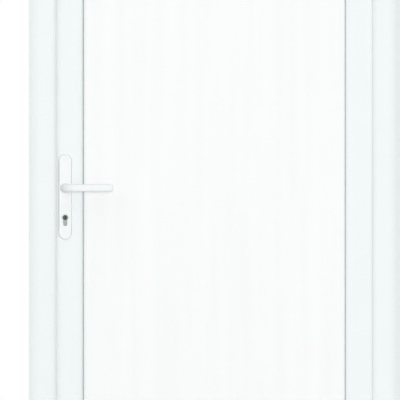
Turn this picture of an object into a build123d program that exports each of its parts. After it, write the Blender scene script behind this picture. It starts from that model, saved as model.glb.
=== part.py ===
from build123d import *
import os

os.makedirs("parts", exist_ok=True)

# All sizes are in millimetres. X is to the right seen from outside, the outside is -Y, Z is up.
# Profiles are drawn as (u, v): u in from the frame's outer edge, v in from its outside face.

# Outer frame
WIDTH = 900
HEIGHT = 2150
DEPTH = 70
FLANGE_U = 66.5
FLANGE_V = 14
REBATE_U = 46
OUTER_SLOPE = (11, 6)
OUTER_SLOPE_R = 48
FLANGE_SLOPE = (5.4, 6)
FLANGE_SLOPE_R = 14
INSIDE_EDGE_R = 2.5
SOFT_EDGE_R = 1
CLIP_DEPTH = 3
CLIP_WIDTH = 6
CLIPS_V = (12, 54)
FIXING_R = 5
FIXING_V = 40
FIXINGS_Z = (200, 800, 1400, HEIGHT - 200)

# Threshold
SILL_H = 20
SILL_NOSE = 14
SILL_NOSE_H = 11
SILL_EDGE_R = 2
UPSTAND_TOP = 34.5
UPSTAND_V = 1
UPSTAND_SLOPE = 4
UPSTAND_EDGE_R = 3
TREAD_GROOVES = 6
TREAD_PITCH = 6
TREAD_GROOVE_W = 2.4
TREAD_GROOVE_H = 1.2

# Leaf
CHAMBER = 12
SEAL_GAP = 5
LEAF_U = REBATE_U + CHAMBER
LEAF_BOTTOM = SILL_H + 8
FACE_V = FLANGE_V + SEAL_GAP
INNER_V = 83
LIP_U = 130
LIP_T = 7
LIP_SLOPE = (3.6, 2.8)
LIP_SLOPE_R = 12
LIP_BACK_V = FACE_V + LIP_T
GLAZING_U = 112.7
OVERLAP_U = 38
OVERLAP_V = DEPTH + SEAL_GAP
OVERLAP_R = 4

# Infill panel, its gaskets and beads
GASKET_T = 3
GASKET_SHOWS = 3.3
GASKET_RISE = 1.6
GASKET_LIP = 1
GASKET_R = 0.8
PANEL_T = 24
PANEL_PLAY = 5
PANEL_U = GLAZING_U + PANEL_PLAY
PANEL_V = LIP_BACK_V + GASKET_T
PANEL_BACK_V = PANEL_V + PANEL_T
BEAD_V = PANEL_BACK_V + GASKET_T
BEAD_BEVEL = 9
BEAD_STEP = 6
BEAD_STEP_R = 2
BEAD_FACE_R = 3

# Rubber seals
SEAL_W = 4
SEAL_STEM = 4
SEAL_BULB = 6.4
SEAL_NOSE = 2
SEAL_SHOULDER_R = 1.2
SEAL_NOSE_R = 0.6
SEAL_SHORT = 0.5
FRAME_SEAL_U = 62
LEAF_SEAL_U = 43
SILL_SEAL_Z = 31

# Lock side hardware: each bolt is (z, height, thickness, depth into the leaf)
BACKSET = 30
SPINDLE_U = LEAF_U + BACKSET
SPINDLE_Z = 1050
LOCK_CENTRES = 72
CYLINDER_Z = SPINDLE_Z - LOCK_CENTRES
STRIP_W = 16
STRIP_T = 3
STRIP_V = 51
STRIP_Z = (300, HEIGHT - 350)
BOLT_SLACK = 0.4
LATCH_NOSE = 3
LATCH_BEVEL = (8, 2.7)
LATCH = (SPINDLE_Z + 34, 30, 12, 17)
DEAD_BOLT = (CYLINDER_Z + 34, 34, 12, 17)
HOOKS = {"upper": (HEIGHT - 510, 44, 10, 17), "lower": (460, 44, 10, 17)}
HOOK_THROAT_R = 9
HOOK_THROAT_DROP = 8
HOOK_NOSE_R = 6
KEEP_W = 24
KEEP_T = 3
KEEP_R = 3
KEEP_POCKET = 9
KEEP_MARGIN = 22
KEEP_SLACK_Y = 1.5
KEEP_SLACK_Z = 3

# Handles
PLATE_W = 32
PLATE_L = 207
PLATE_T = 8
PLATE_BEVEL = (2, 5)
PLATE_DROP = 21.5
COLLAR_R = 11.5
COLLAR_START = 2
COLLAR_OUT = 15
COLLAR_BEVEL = (0.8, 4)
RUNNING = 0.05
SPINDLE_SIDE = 8
SPINDLE_DEPTH = 22
SPINDLE_HOLE_R = 9
LEVER_L = 117.3
LEVER_OUT = 48
LEVER_BEND_R = 24
NECK_SIDE = 20.5
NECK_FLAT = 2.1
GRIP_H = 18
GRIP_T = 13
GRIP_R = 4.4

# Profile cylinder
CYLINDER_R = 8.5
CYLINDER_STEM = 9
CYLINDER_DROP = 20
CYLINDER_PROUD = 1
CYLINDER_CLEAR = 0.3
PLUG_R = 6.5
PLUG_L = 28
PLUG_SET_IN = 0.4
KEYWAY_W = 2.2
KEYWAY_H = 8.4
KEYWAY_DEPTH = 22

# Hinges
PIVOT_U = 34
PIVOT_V = 94
HINGES_Z = {"bottom": 260, "middle": 1080, "top": HEIGHT - 260}
KNUCKLE_R = 10
PIN_R = 5
END_KNUCKLE = 30
MID_KNUCKLE = 48
KNUCKLE_GAP = 1
CAP_R = 8
CAP_H = 4
BLOCK_U = (6, 30)
BLOCK_T = 12
ARM_W = 16
ARM_OFF = 1
LEAF_PLATE_U = (44, 84)
LEAF_PLATE_T = 5
WEB_W = 12
WEB_SET_IN = 0.6
HINGE_EDGE_R = 2

# Weather bar
BAR_END_U = 80
BAR_Z = 46
BAR_H = 36
BAR_OUT = 21
BAR_TOP = 3
BAR_NOSE = 8
BAR_WALL = 4
BAR_TOP_R = 1.5
BAR_NOSE_R = 3

LEAF_BASE = LEAF_BOTTOM - LEAF_U
SPAN = HEIGHT - LEAF_BASE
LEFT = -WIDTH / 2
RIGHT = WIDTH / 2
OUTSIDE = -DEPTH / 2
FACE_Y = OUTSIDE + FACE_V
INNER_Y = OUTSIDE + INNER_V
SPINDLE_X = LEFT + SPINDLE_U
PIVOT_X = RIGHT - PIVOT_U
PIVOT_Y = OUTSIDE + PIVOT_V
REACH = LIP_U + INNER_V

# Each side's plane turns a (u, v) drawing into place, and its number is the length to extrude
SIDES = {
    "lock": (Plane((LEFT, OUTSIDE, LEAF_BASE), (1, 0, 0), (0, 0, 1)), SPAN),
    "hinge": (Plane((RIGHT, OUTSIDE, HEIGHT), (-1, 0, 0), (0, 0, -1)), SPAN),
    "top": (Plane((LEFT, OUTSIDE, HEIGHT), (0, 0, -1), (1, 0, 0)), WIDTH),
    "bottom": (Plane((RIGHT, OUTSIDE, LEAF_BASE), (0, 0, 1), (-1, 0, 0)), WIDTH),
}
# The end of each side from which its mitres run in at 45 degrees, as (x, z)
CORNERS = {
    "lock": ((LEFT, LEAF_BASE), (LEFT, HEIGHT)),
    "hinge": ((RIGHT, LEAF_BASE), (RIGHT, HEIGHT)),
    "top": ((LEFT, HEIGHT), (RIGHT, HEIGHT)),
    "bottom": ((LEFT, LEAF_BASE), (RIGHT, LEAF_BASE)),
}
FRAME_SIDES = ("lock", "top", "hinge")


def block(x, y, z):
    """A box between the two limits given for each axis."""
    size = [abs(pair[1] - pair[0]) for pair in (x, y, z)]
    middle = [(pair[0] + pair[1]) / 2 for pair in (x, y, z)]
    return Pos(*middle) * Box(*size)


def post(radius, height, x, y, z):
    """An upright cylinder standing on the level z."""
    return Pos(x, y, z + height / 2) * Cylinder(radius, height)


def outline(points, radii):
    """A flat drawing through the points, with the corners that are given a radius rounded."""
    drawing = make_face(Polyline(*points, close=True))
    for point, radius in radii.items():
        corner = drawing.vertices().sort_by_distance((*point, 0))[0]
        drawing = fillet(corner, radius)
    return drawing


def along(side, drawing):
    """The drawing run the whole length of one side."""
    plane, length = SIDES[side]
    return extrude(plane * drawing, length, dir=plane.z_dir)


def inward(point):
    """The point reached from a corner by going in at 45 degrees."""
    x, z = point
    across = REACH if x < 0 else -REACH
    upward = REACH if z < HEIGHT / 2 else -REACH
    return (x + across, z + upward)


def mitred(side, drawing):
    """The drawing run along one side and cut at 45 degrees at both ends."""
    start, end = CORNERS[side]
    corners = [start, end, inward(end), inward(start)]
    wedge = make_face(Polyline(*[(x, 0, z) for x, z in corners], close=True))
    return along(side, drawing) & extrude(wedge, REACH, dir=(0, 1, 0), both=True)


def joined(pieces):
    """Pieces that meet at mitres, as one solid."""
    whole = pieces[0]
    for piece in pieces[1:]:
        whole = whole + piece
    return whole


def above(shape, z):
    """What is left of the shape above a level."""
    return shape - block((-WIDTH, WIDTH), (-WIDTH, WIDTH), (-WIDTH, z))


def through_leaf(drawing, z, start, end):
    """A drawing at the spindle's x and the level z, run through the leaf between two depths."""
    place = Plane((SPINDLE_X, OUTSIDE + end, z), (1, 0, 0), (0, -1, 0))
    return extrude(place * drawing, end - start, dir=(0, -1, 0))


def across_leaf(shape):
    """The same piece on the leaf's other face."""
    middle = Plane((0, (FACE_Y + INNER_Y) / 2, 0), z_dir=(0, 1, 0))
    return mirror(shape, about=middle)


def sill_run(drawing, half):
    """A (v, z) drawing run along the threshold, to the same distance each side of the middle."""
    place = Plane((-half, OUTSIDE, 0), (0, 1, 0), (1, 0, 0))
    return extrude(place * drawing, 2 * half, dir=(1, 0, 0))


def write(name, shape):
    export_step(shape, f"parts/{name}.step")


def seal_drawing(centre, root, tip):
    """A seal's section: a stem in its groove, and a bulb that stands out towards the tip."""
    out = 1 if tip > root else -1
    half = SEAL_W / 2
    wide = SEAL_BULB / 2
    stem = root - out * SEAL_STEM
    waist = tip - out * SEAL_NOSE
    shoulders = [(centre + wide, waist), (centre - wide, waist)]
    nose = [(centre + half / 2, tip), (centre - half / 2, tip)]
    points = [(centre - half, stem), (centre + half, stem), (centre + half, root), (centre + wide, root)]
    points += [shoulders[0], *nose, shoulders[1], (centre - wide, root), (centre - half, root)]
    radii = {point: SEAL_SHOULDER_R for point in shoulders}
    radii |= {point: SEAL_NOSE_R for point in nose}
    return outline(points, radii)


def frame_drawing():
    """The outer frame's section, with its seal groove and the two clip grooves of its back."""
    low, high = FRAME_SEAL_U - SEAL_W / 2, FRAME_SEAL_U + SEAL_W / 2
    groove = FLANGE_V - SEAL_STEM
    outer_crest = (OUTER_SLOPE[0], 0)
    flange_crest = (FLANGE_U - FLANGE_SLOPE[0], 0)
    flange_back = (FLANGE_U, FLANGE_V)
    inside_corner = (REBATE_U, DEPTH)
    back_corner = (0, DEPTH)
    points = [(0, OUTER_SLOPE[1]), outer_crest, flange_crest, (FLANGE_U, FLANGE_SLOPE[1]), flange_back]
    points += [(high, FLANGE_V), (high, groove), (low, groove), (low, FLANGE_V)]
    points += [(REBATE_U, FLANGE_V), inside_corner, back_corner]
    radii = {outer_crest: OUTER_SLOPE_R, flange_crest: FLANGE_SLOPE_R, flange_back: SOFT_EDGE_R}
    radii |= {inside_corner: INSIDE_EDGE_R, back_corner: SOFT_EDGE_R}
    drawing = outline(points, radii)
    for v in CLIPS_V:
        drawing -= Pos(CLIP_DEPTH / 2, v + CLIP_WIDTH / 2) * Rectangle(CLIP_DEPTH, CLIP_WIDTH)
    return drawing


def sash_drawing(overlaps):
    """The leaf frame's section, with or without the inside flange that overlaps the outer frame."""
    strip = (STRIP_V - STRIP_W / 2, STRIP_V + STRIP_W / 2)
    face_corner = (LEAF_U, FACE_V)
    lip_crest = (LIP_U - LIP_SLOPE[0], FACE_V)
    points = [face_corner, lip_crest, (LIP_U, FACE_V + LIP_SLOPE[1]), (LIP_U, LIP_BACK_V)]
    points += [(GLAZING_U, LIP_BACK_V), (GLAZING_U, INNER_V)]
    radii = {face_corner: SOFT_EDGE_R, lip_crest: LIP_SLOPE_R}
    if overlaps:
        flange_tip = (OVERLAP_U, INNER_V)
        flange_root = (OVERLAP_U, OVERLAP_V)
        points += [flange_tip, flange_root, (LEAF_U, OVERLAP_V)]
        radii |= {flange_tip: OVERLAP_R, flange_root: SOFT_EDGE_R}
    else:
        inside_corner = (LEAF_U, INNER_V)
        points += [inside_corner]
        radii |= {inside_corner: INSIDE_EDGE_R}
    points += [(LEAF_U, strip[1]), (LEAF_U + STRIP_T, strip[1])]
    points += [(LEAF_U + STRIP_T, strip[0]), (LEAF_U, strip[0])]
    drawing = outline(points, radii)
    if overlaps:
        drawing -= Pos(LEAF_SEAL_U, OVERLAP_V + SEAL_STEM / 2) * Rectangle(SEAL_W, SEAL_STEM)
    return drawing


def bead_drawing():
    """The snap-in bead that holds the panel from inside."""
    step = (LIP_U, BEAD_V + BEAD_STEP)
    crest = (LIP_U - BEAD_BEVEL, INNER_V)
    points = [(GLAZING_U, BEAD_V), (LIP_U, BEAD_V), step, crest, (GLAZING_U, INNER_V)]
    return outline(points, {step: BEAD_STEP_R, crest: BEAD_FACE_R})


def outside_gasket_drawing():
    """The wedge gasket that shows as a thin line round the panel."""
    tip = LIP_U + GASKET_SHOWS
    rise = LIP_BACK_V - GASKET_RISE
    crest = (tip, LIP_BACK_V)
    points = [(PANEL_U, LIP_BACK_V), (LIP_U, LIP_BACK_V), (LIP_U, rise), (LIP_U + GASKET_LIP, rise)]
    points += [crest, (tip, PANEL_V), (PANEL_U, PANEL_V)]
    return outline(points, {crest: GASKET_R})


def inside_gasket_drawing():
    tip = LIP_U + GASKET_SHOWS / 2
    crest = (tip, BEAD_V)
    points = [(PANEL_U, PANEL_BACK_V), (tip, PANEL_BACK_V), crest, (PANEL_U, BEAD_V)]
    return outline(points, {crest: GASKET_R})


def cylinder_drawing(clear=0):
    """The profile cylinder's keyhole outline about its round part's centre."""
    stem = CYLINDER_STEM / 2 + clear
    round_z = CYLINDER_DROP - CYLINDER_STEM / 2
    drawing = Circle(CYLINDER_R + clear)
    drawing += Pos(0, -round_z / 2) * Rectangle(2 * stem, round_z)
    return drawing + Pos(0, -round_z) * Circle(stem)


def bolt_box(bolt, proud=0, slack=0):
    """The box of one bolt in the leaf's lock edge, with slack all round for its pocket."""
    z, height, thick, deep = bolt
    x = (LEFT + LEAF_U - proud, LEFT + LEAF_U + STRIP_T + deep)
    y = OUTSIDE + STRIP_V
    half = thick / 2 + slack
    return block(x, (y - half, y + half), (z - height / 2 - slack, z + height / 2 + slack))


def bolt_pockets():
    bolts = [LATCH, DEAD_BOLT, *HOOKS.values()]
    return [bolt_box(bolt, slack=BOLT_SLACK) for bolt in bolts]


def keep_slots():
    """The bolts that each keep takes."""
    return {
        "keep_latch": (LATCH, DEAD_BOLT),
        "keep_upper": (HOOKS["upper"],),
        "keep_lower": (HOOKS["lower"],),
    }


def keep_slot(bolt, deep):
    """The hollow in a keep, and behind it in the jamb, that one bolt shoots into."""
    z, height, thick, _ = bolt
    x = (LEFT + REBATE_U - deep, LEFT + REBATE_U + KEEP_T)
    y = OUTSIDE + STRIP_V
    half = thick / 2 + KEEP_SLACK_Y
    tall = height / 2 + KEEP_SLACK_Z
    return block(x, (y - half, y + half), (z - tall, z + tall))


def make_outer_frame():
    section = frame_drawing()
    for side, toward in (("lock", LEFT), ("hinge", RIGHT)):
        jamb = above(mitred(side, section), SILL_H)
        for z in FIXINGS_Z:
            hole = Cylinder(FIXING_R, 2 * REACH, rotation=(0, 90, 0))
            jamb -= Pos(toward, OUTSIDE + FIXING_V, z) * hole
        if side == "lock":
            for bolts in keep_slots().values():
                for bolt in bolts:
                    jamb -= keep_slot(bolt, KEEP_POCKET)
        write(f"jamb_{side}_side", jamb)
    write("frame_head", mitred("top", section))


def make_threshold():
    """A ribbed base the jambs stand on, and an upstand between them that the leaf closes against."""
    inside_corner = (DEPTH, SILL_H)
    nose = (-SILL_NOSE, SILL_NOSE_H)
    base = outline(
        [(-SILL_NOSE, 0), (DEPTH, 0), inside_corner, (0, SILL_H), nose],
        {inside_corner: SILL_EDGE_R, nose: SILL_EDGE_R},
    )
    for number in range(TREAD_GROOVES):
        v = FACE_V + TREAD_PITCH * (number + 0.5)
        base -= Pos(v, SILL_H - TREAD_GROOVE_H / 2) * Rectangle(TREAD_GROOVE_W, TREAD_GROOVE_H)
    inner_top = (FLANGE_V, UPSTAND_TOP)
    outer_top = (UPSTAND_V + UPSTAND_SLOPE, UPSTAND_TOP)
    upstand = outline(
        [(UPSTAND_V, SILL_H), (FLANGE_V, SILL_H), inner_top, outer_top],
        {inner_top: SOFT_EDGE_R, outer_top: UPSTAND_EDGE_R},
    )
    upstand -= Pos(FLANGE_V - SEAL_STEM / 2, SILL_SEAL_Z) * Rectangle(SEAL_STEM, SEAL_W)
    clear = RIGHT - FLANGE_U
    write("threshold", sill_run(base, RIGHT) + sill_run(upstand, clear))
    lying = Plane((0, 0, 0), z_dir=(1, -1, 0))
    section = mirror(seal_drawing(SILL_SEAL_Z, FLANGE_V, FACE_V - SEAL_SHORT), about=lying)
    write("threshold_seal", sill_run(section, clear))


def make_frame_seal():
    section = seal_drawing(FRAME_SEAL_U, FLANGE_V, FACE_V - SEAL_SHORT)
    ring = joined([mitred(side, section) for side in FRAME_SIDES])
    write("frame_seal", above(ring, SILL_H))


def make_keeps():
    x = (LEFT + REBATE_U, LEFT + REBATE_U + KEEP_T)
    y = OUTSIDE + STRIP_V
    for name, bolts in keep_slots().items():
        low = min(z - height / 2 for z, height, _, _ in bolts) - KEEP_MARGIN
        high = max(z + height / 2 for z, height, _, _ in bolts) + KEEP_MARGIN
        keep = block(x, (y - KEEP_W / 2, y + KEEP_W / 2), (low, high))
        keep = fillet(keep.edges().filter_by(Axis.X), KEEP_R)
        for bolt in bolts:
            keep -= keep_slot(bolt, 0)
        write(name, keep)


def make_leaf_frame():
    section = sash_drawing(True)
    lock = above(mitred("lock", section), LEAF_BOTTOM)
    for pocket in bolt_pockets():
        lock -= pocket
    lock -= through_leaf(cylinder_drawing(CYLINDER_CLEAR), CYLINDER_Z, 0, REACH)
    lock -= through_leaf(Circle(SPINDLE_HOLE_R), SPINDLE_Z, 0, REACH)
    write("stile_lock_side", lock)
    write("stile_hinge_side", above(mitred("hinge", section), LEAF_BOTTOM))
    write("rail_top", mitred("top", section))
    write("rail_bottom", mitred("bottom", sash_drawing(False)))


def make_leaf_seal():
    section = seal_drawing(LEAF_SEAL_U, OVERLAP_V, DEPTH + SEAL_SHORT)
    ring = joined([mitred(side, section) for side in FRAME_SIDES])
    write("leaf_seal", above(ring, LEAF_BOTTOM))


def make_infill():
    across = RIGHT - PANEL_U
    height = (LEAF_BASE + PANEL_U, HEIGHT - PANEL_U)
    depth = (OUTSIDE + PANEL_V, OUTSIDE + PANEL_BACK_V)
    write("door_panel", block((-across, across), depth, height))
    for side in SIDES:
        write(f"bead_{side}", mitred(side, bead_drawing()))
    for name, section in (("outside", outside_gasket_drawing()), ("inside", inside_gasket_drawing())):
        write(f"panel_gasket_{name}", joined([mitred(side, section) for side in SIDES]))


def hook_bolt(bolt):
    """A flat hook drawn back into the leaf: a rounded nose, and below it the throat that grips the keep."""
    z, _, thick, _ = bolt
    hook = bolt_box(bolt)
    nose = hook.faces().sort_by(Axis.X)[0].edges().sort_by(Axis.Z)[-1]
    hook = fillet(nose, HOOK_NOSE_R)
    throat = Cylinder(HOOK_THROAT_R, 2 * thick, rotation=(90, 0, 0))
    return hook - Pos(LEFT + LEAF_U, OUTSIDE + STRIP_V, z - HOOK_THROAT_DROP) * throat


def make_lock():
    y = OUTSIDE + STRIP_V
    x = (LEFT + LEAF_U, LEFT + LEAF_U + STRIP_T)
    strip = block(x, (y - STRIP_W / 2, y + STRIP_W / 2), STRIP_Z)
    for pocket in bolt_pockets():
        strip -= pocket
    write("lock_faceplate", strip)
    latch = bolt_box(LATCH, proud=LATCH_NOSE)
    tip = latch.faces().sort_by(Axis.X)[0]
    leading = tip.edges().sort_by(Axis.Y)[0]
    write("latch_bolt", chamfer(leading, *LATCH_BEVEL, reference=tip))
    write("dead_bolt", bolt_box(DEAD_BOLT))
    for name, hook in HOOKS.items():
        write(f"hook_bolt_{name}", hook_bolt(hook))


def make_cylinder():
    start = FACE_V - PLATE_T - CYLINDER_PROUD
    end = INNER_V + PLATE_T + CYLINDER_PROUD
    body = through_leaf(cylinder_drawing(), CYLINDER_Z, start, end)
    bore = through_leaf(Circle(PLUG_R), CYLINDER_Z, start, start + PLUG_L)
    slot = through_leaf(Rectangle(KEYWAY_W, KEYWAY_H), CYLINDER_Z, start, start + KEYWAY_DEPTH)
    plug = through_leaf(Circle(PLUG_R), CYLINDER_Z, start + PLUG_SET_IN, start + PLUG_L) - slot
    write("lock_cylinder", body - bore - across_leaf(bore))
    write("cylinder_plug_outside", plug)
    write("cylinder_plug_inside", across_leaf(plug))


def handle_plate():
    face = Plane((SPINDLE_X, FACE_Y, SPINDLE_Z - PLATE_DROP), (0, 0, 1), (0, -1, 0))
    plate = extrude(face * SlotOverall(PLATE_L, PLATE_W), PLATE_T, dir=(0, -1, 0))
    front = plate.faces().sort_by(Axis.Y)[0]
    plate = chamfer(front.edges(), *PLATE_BEVEL, reference=front)
    plate -= through_leaf(Circle(COLLAR_R + RUNNING), SPINDLE_Z, 0, FACE_V)
    return plate - through_leaf(cylinder_drawing(CYLINDER_CLEAR), CYLINDER_Z, 0, FACE_V)


def lever():
    """A round neck on a collar, which flattens as it bends and runs on as a grip with a rounded tip."""
    out = FACE_Y - LEVER_OUT
    collar = through_leaf(Circle(COLLAR_R), SPINDLE_Z, FACE_V - COLLAR_OUT, FACE_V - COLLAR_START)
    front = collar.faces().sort_by(Axis.Y)[0]
    collar = chamfer(front.edges(), *COLLAR_BEVEL, reference=front)
    round_section = RectangleRounded(NECK_SIDE, NECK_SIDE, (NECK_SIDE - NECK_FLAT) / 2)
    neck = through_leaf(round_section, SPINDLE_Z, FACE_V - LEVER_OUT + LEVER_BEND_R, FACE_V - PLATE_T)
    bend_start = Plane((SPINDLE_X, out + LEVER_BEND_R, SPINDLE_Z), (0, 0, 1), (0, -1, 0))
    bend_end = Plane((SPINDLE_X + LEVER_BEND_R, out, SPINDLE_Z), (0, 0, 1), (1, 0, 0))
    sections = [bend_start * round_section, bend_end * RectangleRounded(GRIP_H, GRIP_T, GRIP_R)]
    path = RadiusArc(bend_start.origin, bend_end.origin, -LEVER_BEND_R)
    bend = sweep(sections, path, multisection=True)
    grip = block(
        (bend_end.origin.X, SPINDLE_X + LEVER_L),
        (out - GRIP_T / 2, out + GRIP_T / 2),
        (SPINDLE_Z - GRIP_H / 2, SPINDLE_Z + GRIP_H / 2),
    )
    grip = fillet(grip.edges() - grip.faces().sort_by(Axis.X)[0].edges(), GRIP_R)
    return collar + neck + bend + grip


def make_handles():
    write("handle_plate_outside", handle_plate())
    write("handle_plate_inside", across_leaf(handle_plate()))
    square = Rectangle(SPINDLE_SIDE, SPINDLE_SIDE)
    outside = lever() - through_leaf(square, SPINDLE_Z, FACE_V - SPINDLE_DEPTH, FACE_V)
    write("lever_outside", outside)
    write("lever_inside", across_leaf(outside))
    bar = through_leaf(square, SPINDLE_Z, FACE_V - SPINDLE_DEPTH, INNER_V + SPINDLE_DEPTH)
    write("spindle", bar)


def standing(points, height, z):
    """An (x, y) drawing stood up from the level z."""
    return Pos(0, 0, z) * extrude(make_face(Polyline(*points, close=True)), height, dir=(0, 0, 1))


def hinge_arm():
    """The (x, y) outline that joins a frame knuckle to its block."""
    foot = RIGHT - BLOCK_U[1]
    y = OUTSIDE + DEPTH + ARM_OFF
    return [(foot, y), (foot + ARM_W, y), (PIVOT_X + KNUCKLE_R - WEB_SET_IN, PIVOT_Y), (PIVOT_X, PIVOT_Y)]


def hinge_web():
    """The (x, y) outline that joins the leaf knuckle to its plate."""
    foot = RIGHT - LEAF_PLATE_U[0]
    reach = KNUCKLE_R - WEB_SET_IN
    points = [(foot - WEB_W, INNER_Y), (foot, INNER_Y), (PIVOT_X, PIVOT_Y - reach), (PIVOT_X, PIVOT_Y)]
    return points + [(PIVOT_X - reach, PIVOT_Y), (foot - WEB_W, INNER_Y + LEAF_PLATE_T)]


def make_hinges():
    half = MID_KNUCKLE / 2
    inside_y = OUTSIDE + DEPTH
    block_x = (RIGHT - BLOCK_U[1], RIGHT - BLOCK_U[0])
    plate_x = (RIGHT - LEAF_PLATE_U[1], RIGHT - LEAF_PLATE_U[0])
    ends = (half + KNUCKLE_GAP, -half - KNUCKLE_GAP - END_KNUCKLE)
    tall = 2 * (half + KNUCKLE_GAP + END_KNUCKLE)
    for name, z in HINGES_Z.items():
        low, high = z - tall / 2, z + tall / 2
        fixed = block(block_x, (inside_y, inside_y + BLOCK_T), (low, high))
        fixed = fillet(fixed.faces().sort_by(Axis.Y)[-1].edges(), HINGE_EDGE_R)
        for end in ends:
            fixed += standing(hinge_arm(), END_KNUCKLE, z + end)
            fixed += post(KNUCKLE_R, END_KNUCKLE, PIVOT_X, PIVOT_Y, z + end)
        fixed -= post(PIN_R, tall, PIVOT_X, PIVOT_Y, low)
        write(f"hinge_{name}_frame_part", fixed)

        moving = block(plate_x, (INNER_Y, INNER_Y + LEAF_PLATE_T), (low, high))
        moving = fillet(moving.faces().sort_by(Axis.Y)[-1].edges(), HINGE_EDGE_R)
        moving += standing(hinge_web(), MID_KNUCKLE, z - half)
        moving += post(KNUCKLE_R, MID_KNUCKLE, PIVOT_X, PIVOT_Y, z - half)
        moving -= post(PIN_R + RUNNING, tall, PIVOT_X, PIVOT_Y, low)
        write(f"hinge_{name}_leaf_part", moving)

        pin = post(PIN_R, tall, PIVOT_X, PIVOT_Y, low)
        pin += post(CAP_R, CAP_H, PIVOT_X, PIVOT_Y, high)
        pin += post(CAP_R, CAP_H, PIVOT_X, PIVOT_Y, low - CAP_H)
        write(f"hinge_{name}_pin", pin)


def make_weather_bar():
    """A sloped bar, hollow underneath, that throws rain clear of the threshold."""
    front = FACE_V - BAR_OUT
    top = BAR_Z + BAR_H
    roof = BAR_Z + BAR_WALL
    top_edge = (FACE_V - BAR_TOP, top)
    nose = (front, BAR_Z + BAR_NOSE)
    points = [(FACE_V, BAR_Z), (FACE_V, top), top_edge, nose, (front, BAR_Z), (front + BAR_WALL, BAR_Z)]
    points += [(front + BAR_WALL, roof), (FACE_V - BAR_WALL, roof), (FACE_V - BAR_WALL, BAR_Z)]
    section = outline(points, {top_edge: BAR_TOP_R, nose: BAR_NOSE_R})
    write("weather_bar", sill_run(section, RIGHT - BAR_END_U))


make_outer_frame()
make_threshold()
make_frame_seal()
make_keeps()
make_leaf_frame()
make_leaf_seal()
make_infill()
make_lock()
make_cylinder()
make_handles()
make_hinges()
make_weather_bar()
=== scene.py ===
import math

import bmesh
import bpy
from mathutils import Matrix, Vector


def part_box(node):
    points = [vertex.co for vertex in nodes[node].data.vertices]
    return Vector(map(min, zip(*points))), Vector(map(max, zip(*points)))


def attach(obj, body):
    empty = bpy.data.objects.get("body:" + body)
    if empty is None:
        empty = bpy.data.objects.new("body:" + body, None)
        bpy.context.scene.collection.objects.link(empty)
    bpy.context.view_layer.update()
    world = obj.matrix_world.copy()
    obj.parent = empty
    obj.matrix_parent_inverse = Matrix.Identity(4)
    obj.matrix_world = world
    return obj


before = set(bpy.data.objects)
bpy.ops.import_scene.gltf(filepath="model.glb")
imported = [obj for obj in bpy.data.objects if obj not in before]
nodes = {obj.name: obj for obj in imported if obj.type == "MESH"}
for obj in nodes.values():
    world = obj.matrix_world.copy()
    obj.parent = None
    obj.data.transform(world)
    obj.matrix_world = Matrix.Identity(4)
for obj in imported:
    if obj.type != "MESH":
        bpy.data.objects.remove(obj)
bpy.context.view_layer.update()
scene = bpy.context.scene
MM = 0.001

# The photograph: what is read from it is in pixels, and the outer frame's real width gives the scale
IMAGE_PX = 400
FRAME_LEFT_PX = 28.72
FRAME_WIDTH_PX = 371.3
SPINDLE_DOWN_PX = 187.95
CAMERA_LENS = 400
CAMERA_SENSOR = 36
CAMERA_REACH = 100

# Light: the lamps, with places and sizes in metres, and the sky together show a colour about as it is written
SKY_LEVEL = 0.375
SKY_COLOUR = (0.985, 0.995, 1.0)
LAMP_TARGET = (0, 0, 1.05)
LAMPS = {
    "front": {"place": (0.5, -8, 1.35), "size": 1.2, "watts": 228},
    "key": {"place": (-2.4, -6, 6.6), "size": 9, "watts": 224},
    "back": {"place": (1.8, 4.2, 3.0), "size": 2.2, "watts": 108},
}

# Colours, linear, each with the dark and the light tone of its pattern
PLASTIC = ((0.825, 0.868, 0.868), (0.845, 0.885, 0.885))
PANEL = ((0.903, 0.905, 0.909), (0.925, 0.925, 0.925))
COAT = ((0.835, 0.862, 0.862), (0.86, 0.885, 0.885))
RUBBER = ((0.43, 0.475, 0.47), (0.49, 0.54, 0.535))
ALUMINIUM = ((0.55, 0.555, 0.56), (0.68, 0.685, 0.69))
STEEL = ((0.47, 0.47, 0.465), (0.62, 0.62, 0.615))
NICKEL = ((0.365, 0.42, 0.385), (0.44, 0.5, 0.46))
# The plugs' tones are near black: painted shade over the plug faces
PLUG_PAINTED_SHADE = ((0.042, 0.055, 0.048), (0.068, 0.087, 0.075))
SEAM = ((0.62, 0.65, 0.65), (0.7, 0.73, 0.73))
NYLON = ((0.06, 0.06, 0.06), (0.1, 0.1, 0.1))
FLOOR = ((0.79, 0.79, 0.785), (0.83, 0.83, 0.825))

# Where in a pattern its dark tone ends and its light one begins
TONE_STOPS = (0.3, 0.7)

# How many times finer a matt surface's relief is than its mottle
MATT_FINER = 8

# The key cylinder's stem: painted shade, its tone as a share of the nickel's, and the fade of that painted
# shade about the plug's foot
STEM_PAINTED_SHADE = 0.54
SHADE_FADE_BELOW = 1 * MM
SHADE_FADE_ABOVE = 2 * MM

# How a pattern is stretched along X, Y and Z: a small share draws it out into lines along that axis
EVEN = (1, 1, 1)
UPRIGHT = (1, 1, 0.012)
ACROSS = (0.012, 1, 1)
THROUGH = (1, 0.03, 1)
PANEL_GRAIN = (1, 1, 0.022)
PANEL_CLOUDS = (1, 1, 0.05)

# Screw heads: the profile is (radius, height) from below, and the recess narrows towards its foot
SCREW_R = 3.6 * MM
SCREW_H = 0.7 * MM
SCREW_SIDES = 32
SCREW_PROFILE = [
    (SCREW_R, -0.1 * MM),
    (SCREW_R, 0.15 * MM),
    (0.9 * SCREW_R, 0.7 * SCREW_H),
    (0.72 * SCREW_R, SCREW_H),
]
RECESS_W = 0.9 * MM
RECESS_REACH = 0.55 * SCREW_R
RECESS_DEPTH = 0.65 * MM
RECESS_TAPER = 0.6

# Places of the lock's screws: in from the ends of what they hold, and heights along the faceplate
FACEPLATE_SCREW_IN = 20 * MM
FACEPLATE_SCREWS = [height * MM for height in (500, 640, 800, 940, 1160, 1300, 1460, 1560, 1720)]
KEEP_SCREW_IN = 9 * MM
PLATE_SCREW_IN = 14 * MM

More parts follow.
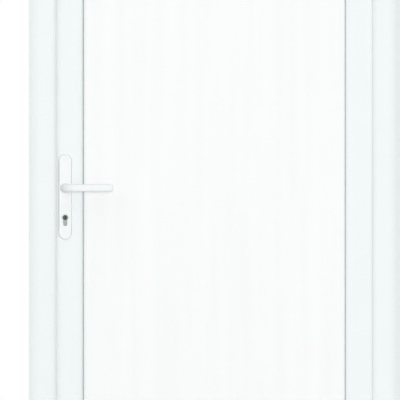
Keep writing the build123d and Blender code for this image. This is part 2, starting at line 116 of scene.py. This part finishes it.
# Hinges: how far their leaf plates and frame blocks stand out, and their screws' places in from the edges
HINGES = ("bottom", "middle", "top")
LEAF_PLATE_T = 5 * MM
LEAF_SCREW_ASIDE = 11 * MM
LEAF_SCREW_IN = 14 * MM
LEAF_SCREW_FAR_IN = 42 * MM
FRAME_BLOCK_T = 12 * MM
FRAME_SCREW_ASIDE = 7.5 * MM
FRAME_SCREW_IN = 12 * MM

# Hinge washers, which lie above and below the middle of each pin
WASHER_R = 9.5 * MM
WASHER_BORE = 5.3 * MM
WASHER_T = 0.9 * MM
WASHER_SIDES = 40
WASHER_OFF = 24.5 * MM

# Weld lines along the mitres: their size, and how far in from the corner they run on each face
SEAM_W = 0.9 * MM
SEAM_H = 0.05 * MM
FRAME_SEAMS = {"outside": (19 * MM, 53 * MM), "inside": (3 * MM, 42 * MM)}
LEAF_SEAMS = {"outside": (60 * MM, 122 * MM), "inside": (43 * MM, 112 * MM)}
FOOT_SEAMS = {"outside": (2 * MM, 64 * MM), "inside": (4 * MM, 54 * MM)}

# The floor reaches this far each way, in metres, and lies just under the threshold
FLOOR_REACH = 6
FLOOR_SEGMENTS = 4
FLOOR_DROP = 0.5 * MM


def new_material(name, metallic, ior):
    """A material, its node tree and its shader."""
    material = bpy.data.materials.new(name)
    material.use_nodes = True
    shader = material.node_tree.nodes["Principled BSDF"]
    shader.inputs["Metallic"].default_value = metallic
    shader.inputs["IOR"].default_value = ior
    return material, material.node_tree, shader


def noise(tree, stretch, scale, detail=3):
    """Noise in the part's own space, stretched along its axes."""
    place = tree.nodes.new("ShaderNodeTexCoord")
    mapping = tree.nodes.new("ShaderNodeMapping")
    texture = tree.nodes.new("ShaderNodeTexNoise")
    mapping.inputs["Scale"].default_value = stretch
    texture.inputs["Scale"].default_value = scale
    texture.inputs["Detail"].default_value = detail
    tree.links.new(place.outputs["Object"], mapping.inputs["Vector"])
    tree.links.new(mapping.outputs["Vector"], texture.inputs["Vector"])
    return texture.outputs["Fac"]


def paint(tree, shader, pattern, tones):
    """Colour from a dark to a light tone by a pattern."""
    ramp = tree.nodes.new("ShaderNodeValToRGB")
    for stop, position, tone in zip(ramp.color_ramp.elements, TONE_STOPS, tones):
        stop.position = position
        stop.color = (*tone, 1)
    tree.links.new(pattern, ramp.inputs["Fac"])
    tree.links.new(ramp.outputs["Color"], shader.inputs["Base Color"])


def polish(tree, shader, pattern, low, high):
    """Roughness between two levels by a pattern."""
    span = tree.nodes.new("ShaderNodeMapRange")
    span.inputs["To Min"].default_value = low
    span.inputs["To Max"].default_value = high
    tree.links.new(pattern, span.inputs["Value"])
    tree.links.new(span.outputs["Result"], shader.inputs["Roughness"])


def emboss(tree, shader, pattern, strength, depth):
    """Relief by a pattern, depth in metres."""
    relief = tree.nodes.new("ShaderNodeBump")
    relief.inputs["Strength"].default_value = strength
    relief.inputs["Distance"].default_value = depth
    tree.links.new(pattern, relief.inputs["Height"])
    tree.links.new(relief.outputs["Normal"], shader.inputs["Normal"])


def plastic(name, run):
    """Extruded white plastic: soft drawing lines along the profile and a satin skin."""
    material, tree, shader = new_material(name, metallic=0, ior=1.52)
    paint(tree, shader, noise(tree, run, scale=26), PLASTIC)
    polish(tree, shader, noise(tree, run, scale=60), low=0.5, high=0.62)
    emboss(tree, shader, noise(tree, run, scale=420, detail=2), strength=0.12, depth=0.05 * MM)
    return material


def panel_skin():
    """The panel's plastic skin with a faint upright wood grain."""
    material, tree, shader = new_material("panel_skin", metallic=0, ior=1.5)
    grain = noise(tree, PANEL_GRAIN, scale=150, detail=5)
    paint(tree, shader, noise(tree, PANEL_CLOUDS, scale=34, detail=4), PANEL)
    polish(tree, shader, grain, low=0.52, high=0.66)
    emboss(tree, shader, grain, strength=0.16, depth=0.12 * MM)
    return material


def coating():
    """White powder coat with its fine orange peel."""
    material, tree, shader = new_material("powder_coat", metallic=0, ior=1.5)
    paint(tree, shader, noise(tree, EVEN, scale=45), COAT)
    polish(tree, shader, noise(tree, EVEN, scale=130), low=0.44, high=0.56)
    emboss(tree, shader, noise(tree, EVEN, scale=900, detail=2), strength=0.1, depth=0.04 * MM)
    return material


def rubber():
    """Grey rubber, matt, with a slight bloom."""
    material, tree, shader = new_material("grey_rubber_skin", metallic=0, ior=1.5)
    paint(tree, shader, noise(tree, EVEN, scale=90), RUBBER)
    polish(tree, shader, noise(tree, EVEN, scale=160), low=0.6, high=0.8)
    emboss(tree, shader, noise(tree, EVEN, scale=1400, detail=2), strength=0.2, depth=0.05 * MM)
    return material


def metal(name, run, tones, low, high):
    """Metal brushed along one direction, its roughness between two levels."""
    material, tree, shader = new_material(name, metallic=1, ior=2.4)
    brushed = noise(tree, run, scale=700, detail=4)
    paint(tree, shader, brushed, tones)
    polish(tree, shader, noise(tree, run, scale=300), low, high)
    emboss(tree, shader, brushed, strength=0.12, depth=0.04 * MM)
    return material


def steel(name, run):
    """The brushed steel of the lock, its keeps, the pins and the screws."""
    return metal(name, run, STEEL, low=0.26, high=0.4)


def cylinder_nickel():
    """Satin nickel, bright about the plug, with painted shade darkening it down the stem."""
    material = metal("nickel", THROUGH, NICKEL, low=0.5, high=0.6)
    tree = material.node_tree
    colour = tree.nodes["Principled BSDF"].inputs["Base Color"]
    plug_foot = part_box("cylinder_plug_outside")[0].z
    # Painted shade: below the plug's foot the nickel's colour is multiplied down to a share of itself, fading
    # in about the foot
    place = tree.nodes.new("ShaderNodeTexCoord")
    split = tree.nodes.new("ShaderNodeSeparateXYZ")
    fade = tree.nodes.new("ShaderNodeMapRange")
    fade.inputs["From Min"].default_value = plug_foot - SHADE_FADE_BELOW
    fade.inputs["From Max"].default_value = plug_foot + SHADE_FADE_ABOVE
    fade.inputs["To Min"].default_value = STEM_PAINTED_SHADE
    painted_shade = tree.nodes.new("ShaderNodeVectorMath")
    painted_shade.operation = "MULTIPLY"
    tree.links.new(place.outputs["Object"], split.inputs["Vector"])
    tree.links.new(split.outputs["Z"], fade.inputs["Value"])
    tree.links.new(colour.links[0].from_socket, painted_shade.inputs[0])
    tree.links.new(fade.outputs["Result"], painted_shade.inputs[1])
    tree.links.new(painted_shade.outputs["Vector"], colour)
    return material


def matt(name, tones, scale):
    """A matt surface with a slight mottle and a finer relief."""
    material, tree, shader = new_material(name, metallic=0, ior=1.45)
    mottle = noise(tree, EVEN, scale)
    paint(tree, shader, mottle, tones)
    polish(tree, shader, mottle, low=0.55, high=0.75)
    emboss(tree, shader, noise(tree, EVEN, scale * MATT_FINER), strength=0.1, depth=0.05 * MM)
    return material


def dress(material, *names):
    """Gives CAD nodes a material in place of the plain one."""
    for name in names:
        nodes[name].data.materials.clear()
        nodes[name].data.materials.append(material)


def dress_profiles():
    """Materials of the frame's and the leaf's profiles, the panel, the rubber and the threshold."""
    upright = plastic("plastic_upright", UPRIGHT)
    dress(upright, "jamb_lock_side", "jamb_hinge_side", "stile_lock_side", "stile_hinge_side")
    dress(upright, "bead_lock", "bead_hinge")
    across = plastic("plastic_across", ACROSS)
    dress(across, "frame_head", "rail_top", "rail_bottom", "bead_top", "bead_bottom", "weather_bar")
    dress(panel_skin(), "door_panel")
    grey = rubber()
    dress(grey, "frame_seal", "threshold_seal", "leaf_seal")
    dress(grey, "panel_gasket_outside", "panel_gasket_inside")
    dress(metal("aluminium", ACROSS, ALUMINIUM, low=0.3, high=0.45), "threshold")


def dress_hardware(bolt_steel):
    """Materials of the hinges, the handles, the lock and its keeps."""
    coat = coating()
    steel_upright = steel("steel_upright", UPRIGHT)
    for name in HINGES:
        dress(coat, f"hinge_{name}_frame_part", f"hinge_{name}_leaf_part")
        dress(steel_upright, f"hinge_{name}_pin")
    dress(coat, "handle_plate_outside", "handle_plate_inside", "lever_outside", "lever_inside")
    dress(steel_upright, "keep_latch", "keep_upper", "keep_lower", "lock_faceplate")
    dress(bolt_steel, "latch_bolt", "dead_bolt", "hook_bolt_upper", "hook_bolt_lower", "spindle")
    dress(cylinder_nickel(), "lock_cylinder")
    # The plugs get near-black metal: painted shade over their faces
    dark = metal("plug_painted_shade", THROUGH, PLUG_PAINTED_SHADE, low=0.45, high=0.55)
    dress(dark, "cylinder_plug_outside", "cylinder_plug_inside")


def middle(name):
    """The middle of a CAD node's box."""
    low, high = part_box(name)
    return (low + high) / 2


def add_piece(name, body, mesh, material):
    """Puts a finished bmesh in the scene as a piece that rides on a body."""
    bmesh.ops.recalc_face_normals(mesh, faces=mesh.faces)
    data = bpy.data.meshes.new(name)
    mesh.to_mesh(data)
    mesh.free()
    data.materials.append(material)
    piece = bpy.data.objects.new(name, data)
    scene.collection.objects.link(piece)
    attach(piece, body)


def turned(mesh, profile, sides):
    """Turns a profile of (radius, height) points about Z and returns its rings of vertices."""
    angles = [2 * math.pi * side / sides for side in range(sides)]
    rings = []
    for radius, height in profile:
        ring = [mesh.verts.new((radius * math.cos(a), radius * math.sin(a), height)) for a in angles]
        rings.append(ring)
    for lower, upper in zip(rings, rings[1:]):
        for side in range(sides):
            after = (side + 1) % sides
            mesh.faces.new((lower[side], lower[after], upper[after], upper[side]))
    return rings


def cross_points(half, reach):
    """The corners of a cross recess, in order round it."""
    corner = [(reach, -half), (reach, half), (half, half)]
    points = []
    for quarter in range(4):
        turn = Matrix.Rotation(quarter * math.pi / 2, 2)
        points += [turn @ Vector(point) for point in corner]
    return points


def loop_edges(mesh, loop):
    """The edges of a closed loop of vertices."""
    return [mesh.edges.get(pair) for pair in zip(loop, loop[1:] + loop[:1])]


def screw_head():
    """A low domed screw head with a cross recess, its top along Z."""
    mesh = bmesh.new()
    rings = turned(mesh, SCREW_PROFILE, SCREW_SIDES)
    mesh.faces.new(rings[0])
    outline = cross_points(RECESS_W / 2, RECESS_REACH)
    top = [mesh.verts.new((*point, SCREW_H)) for point in outline]
    base = [mesh.verts.new((*(point * RECESS_TAPER), SCREW_H - RECESS_DEPTH)) for point in outline]
    for first in range(len(top)):
        after = (first + 1) % len(top)
        mesh.faces.new((top[first], top[after], base[after], base[first]))
    mesh.faces.new(base)
    edges = loop_edges(mesh, rings[-1]) + loop_edges(mesh, top)
    bmesh.ops.triangle_fill(mesh, edges=edges, use_beauty=True)
    return mesh


def stamp(source, places):
    """Copies of one small mesh, one at each (point, outward direction)."""
    shape = bpy.data.meshes.new("stamp")
    source.to_mesh(shape)
    source.free()
    whole = bmesh.new()
    for point, outward in places:
        start = len(whole.verts)
        whole.from_mesh(shape)
        whole.verts.ensure_lookup_table()
        turn = Vector(outward).to_track_quat("Z", "Y").to_matrix().to_4x4()
        bmesh.ops.transform(whole, matrix=Matrix.Translation(point) @ turn, verts=whole.verts[start:])
    bpy.data.meshes.remove(shape)
    return whole


def strip_places(node, outward, inset, others=()):
    """Screw places near an upright strip's two ends and at other heights, on the face that looks outward."""
    low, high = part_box(node)
    x = low.x if outward[0] < 0 else high.x
    y = (low.y + high.y) / 2
    return [(Vector((x, y, z)), outward) for z in (low.z + inset, high.z - inset, *others)]


def make_lock_screws(material):
    """Screws of the lock's faceplate, of its keeps and of the inside handle plate."""
    on_leaf = strip_places("lock_faceplate", (-1, 0, 0), FACEPLATE_SCREW_IN, FACEPLATE_SCREWS)
    low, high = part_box("handle_plate_inside")
    x = (low.x + high.x) / 2
    for z in (low.z + PLATE_SCREW_IN, high.z - PLATE_SCREW_IN):
        on_leaf.append((Vector((x, high.y, z)), (0, 1, 0)))
    add_piece("leaf_lock_screws", "leaf", stamp(screw_head(), on_leaf), material)
    on_keeps = []
    for node in ("keep_latch", "keep_upper", "keep_lower"):
        on_keeps += strip_places(node, (1, 0, 0), KEEP_SCREW_IN)
    add_piece("keep_screws", "frame", stamp(screw_head(), on_keeps), material)


def make_hinge_screws(material):
    """Screws through each hinge's leaf plate and frame block."""
    leaf_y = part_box("stile_hinge_side")[1].y + LEAF_PLATE_T
    frame_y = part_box("jamb_hinge_side")[1].y + FRAME_BLOCK_T
    on_leaf, on_frame = [], []
    for name in HINGES:
        low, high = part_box(f"hinge_{name}_leaf_part")
        x = low.x + LEAF_SCREW_ASIDE
        heights = [low.z + LEAF_SCREW_IN, low.z + LEAF_SCREW_FAR_IN]
        heights += [high.z - LEAF_SCREW_FAR_IN, high.z - LEAF_SCREW_IN]
        on_leaf += [(Vector((x, leaf_y, z)), (0, 1, 0)) for z in heights]
        low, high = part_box(f"hinge_{name}_frame_part")
        x = high.x - FRAME_SCREW_ASIDE
        heights = [low.z + FRAME_SCREW_IN, (low.z + high.z) / 2, high.z - FRAME_SCREW_IN]
        on_frame += [(Vector((x, frame_y, z)), (0, 1, 0)) for z in heights]
    add_piece("hinge_leaf_screws", "leaf", stamp(screw_head(), on_leaf), material)
    add_piece("hinge_frame_screws", "frame", stamp(screw_head(), on_frame), material)


def make_hinge_washers():
    """Nylon washers in the gaps between the hinge knuckles."""
    half = WASHER_T / 2
    ring = bmesh.new()
    profile = [(WASHER_BORE, -half), (WASHER_R, -half), (WASHER_R, half), (WASHER_BORE, half)]
    turned(ring, profile, WASHER_SIDES)
    bmesh.ops.bridge_loops(ring, edges=[edge for edge in ring.edges if edge.is_boundary])
    places = []
    for name in HINGES:
        pin = middle(f"hinge_{name}_pin")
        places += [(pin + Vector((0, 0, off)), (0, 0, 1)) for off in (-WASHER_OFF, WASHER_OFF)]
    nylon = matt("nylon", NYLON, scale=300)
    add_piece("hinge_washers", "frame", stamp(ring, places), nylon)


def add_seams(mesh, node, corner, inward, reaches):
    """A low ridge along the mitre that runs in from a corner, on both faces of a node."""
    low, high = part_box(node)
    aside = Vector((inward[1], 0, -inward[0])).normalized() * SEAM_W / 2
    for y, outward, reach in ((low.y, -1, reaches["outside"]), (high.y, 1, reaches["inside"])):
        rows = []
        for far in reach:
            point = Vector((corner[0] + inward[0] * far, y, corner[1] + inward[1] * far))
            crest = point + Vector((0, outward * SEAM_H, 0))
            rows.append([mesh.verts.new(place) for place in (point - aside, crest, point + aside)])
        for first, second in ((0, 1), (1, 2), (2, 0)):
            mesh.faces.new((rows[0][first], rows[0][second], rows[1][second], rows[1][first]))
        for row in rows:
            mesh.faces.new(row)


def make_weld_seams():
    """The lines where the frame's and the leaf's profiles are welded at their mitres."""
    low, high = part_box("frame_head")
    foot_low, foot_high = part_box("rail_bottom")
    on_frame, on_leaf = bmesh.new(), bmesh.new()
    for x, foot_x, inside in ((low.x, foot_low.x, 1), (high.x, foot_high.x, -1)):
        add_seams(on_frame, "frame_head", (x, high.z), (inside, -1), FRAME_SEAMS)
        add_seams(on_leaf, "rail_top", (x, high.z), (inside, -1), LEAF_SEAMS)
        add_seams(on_leaf, "rail_bottom", (foot_x, foot_low.z), (inside, 1), FOOT_SEAMS)
    seam_plastic = matt("seam_plastic", SEAM, scale=200)
    add_piece("frame_weld_seams", "frame", on_frame, seam_plastic)
    add_piece("leaf_weld_seams", "leaf", on_leaf, seam_plastic)


def add_floor():
    """A plain pale floor under the threshold."""
    mesh = bmesh.new()
    bmesh.ops.create_grid(mesh, x_segments=FLOOR_SEGMENTS, y_segments=FLOOR_SEGMENTS, size=FLOOR_REACH)
    data = bpy.data.meshes.new("floor")
    mesh.to_mesh(data)
    mesh.free()
    data.materials.append(matt("floor_finish", FLOOR, scale=2))
    floor = bpy.data.objects.new("floor", data)
    floor.location.z = -FLOOR_DROP
    scene.collection.objects.link(floor)


def larger(tree, first, second):
    """The larger of two values."""
    node = tree.nodes.new("ShaderNodeMath")
    node.operation = "MAXIMUM"
    tree.links.new(first, node.inputs[0])
    tree.links.new(second, node.inputs[1])
    return node.outputs["Value"]


def add_world():
    """Even sky light, seen as plain white by the camera and in reflections."""
    world = bpy.data.worlds.new("studio")
    world.use_nodes = True
    scene.world = world
    tree = world.node_tree
    sky = tree.nodes["Background"]
    sky.inputs["Color"].default_value = (*SKY_COLOUR, 1)
    sky.inputs["Strength"].default_value = SKY_LEVEL
    white = tree.nodes.new("ShaderNodeBackground")
    white.inputs["Color"].default_value = (1, 1, 1, 1)
    rays = tree.nodes.new("ShaderNodeLightPath").outputs
    seen = larger(tree, rays["Is Camera Ray"], rays["Is Glossy Ray"])
    seen = larger(tree, seen, rays["Is Transmission Ray"])
    mix = tree.nodes.new("ShaderNodeMixShader")
    tree.links.new(seen, mix.inputs["Fac"])
    tree.links.new(sky.outputs["Background"], mix.inputs[1])
    tree.links.new(white.outputs["Background"], mix.inputs[2])
    tree.links.new(mix.outputs["Shader"], tree.nodes["World Output"].inputs["Surface"])


def add_lights():
    """A soft lamp before the door, a wide one up on the left, and one behind it for the inside."""
    for name, lamp in LAMPS.items():
        data = bpy.data.lights.new(name, "AREA")
        data.size = lamp["size"]
        data.energy = lamp["watts"]
        light = bpy.data.objects.new(name, data)
        light.location = lamp["place"]
        aim = Vector(LAMP_TARGET) - Vector(lamp["place"])
        light.rotation_euler = aim.to_track_quat("-Z", "Y").to_euler()
        scene.collection.objects.link(light)


def add_camera():
    """Looks straight at the door's outside, framed as the photograph is."""
    low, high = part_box("frame_head")
    scale = (high.x - low.x) / FRAME_WIDTH_PX
    half = IMAGE_PX / 2
    x = low.x + (half - FRAME_LEFT_PX) * scale
    z = middle("spindle").z - (half - SPINDLE_DOWN_PX) * scale
    away = IMAGE_PX * scale * CAMERA_LENS / CAMERA_SENSOR
    data = bpy.data.cameras.new("photo_camera")
    data.lens = CAMERA_LENS
    data.sensor_width = CAMERA_SENSOR
    data.clip_end = CAMERA_REACH
    camera = bpy.data.objects.new("photo_camera", data)
    camera.location = (x, low.y - away, z)
    camera.rotation_euler = (math.pi / 2, 0, 0)
    scene.collection.objects.link(camera)
    scene.camera = camera


bolt_steel = steel("steel_through", THROUGH)
dress_profiles()
dress_hardware(bolt_steel)
make_lock_screws(bolt_steel)
make_hinge_screws(bolt_steel)
make_hinge_washers()
make_weld_seams()
add_floor()
add_world()
add_lights()
add_camera()
scene.view_settings.view_transform = "Standard"
